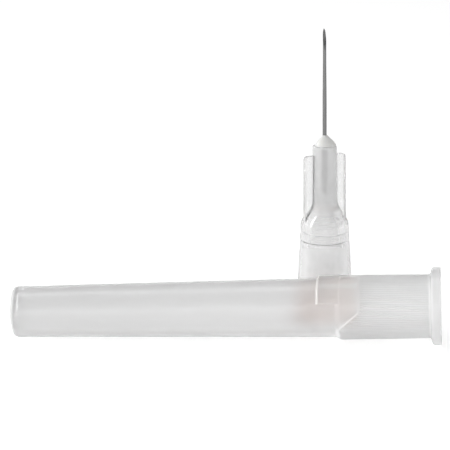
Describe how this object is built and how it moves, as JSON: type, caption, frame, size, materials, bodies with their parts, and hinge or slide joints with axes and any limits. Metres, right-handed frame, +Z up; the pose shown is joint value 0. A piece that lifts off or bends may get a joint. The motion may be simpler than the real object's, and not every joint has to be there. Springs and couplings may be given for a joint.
{
  "type": "hypodermic needle",
  "caption": "Fine hypodermic needle with a clear winged luer hub, standing on its foot, and its frosted ribbed sheath pulled off and lying in front.",
  "frame": {"origin": "on the standing surface, under the middle of the overall box of needle and sheath", "axes": "+X along the lying sheath towards its open mouth, +Y from the sheath to the needle behind it, +Z up along the needle"},
  "size_m": [0.0472, 0.015, 0.0334],
  "materials": {
    "cannula_steel": "drawn and polished stainless steel",
    "adhesive_white": "opaque white cured adhesive",
    "hub_clear": "clear moulded polypropylene, glossy",
    "sheath_frosted": "frosted translucent moulded polypropylene"
  },
  "bodies": {
    "root": {"cannula": "cannula_steel", "adhesive": "adhesive_white", "hub": "hub_clear", "sheath": "sheath_frosted"}
  },
  "joints": []
}
